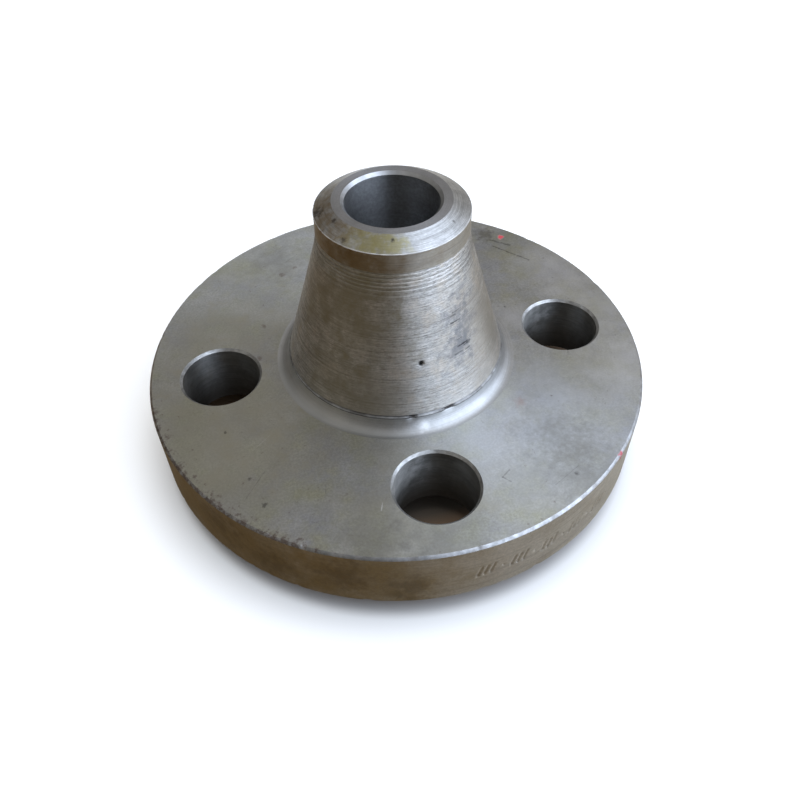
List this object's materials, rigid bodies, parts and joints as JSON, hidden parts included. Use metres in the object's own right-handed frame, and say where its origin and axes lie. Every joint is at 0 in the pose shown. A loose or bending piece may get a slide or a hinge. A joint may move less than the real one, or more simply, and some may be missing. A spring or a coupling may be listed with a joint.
{
  "type": "weld neck flange",
  "caption": "Raised-face weld neck pipe flange: a drilled round ring with a tapered hub that ends in a bevelled butt-weld preparation.",
  "frame": {"origin": "centre of the raised gasket face, on the bore axis, at the lowest point of the flange", "axes": "+Z along the bore axis, from the gasket face towards the weld end; two bolt holes lie on the X axis and two on the Y axis"},
  "size_m": [0.124, 0.124, 0.0684],
  "materials": {
    "turned_steel": "lathe-turned forged carbon steel, satin, with turning lines and faint brown storage stains"
  },
  "bodies": {
    "root": {"flange": "turned_steel"}
  },
  "joints": []
}
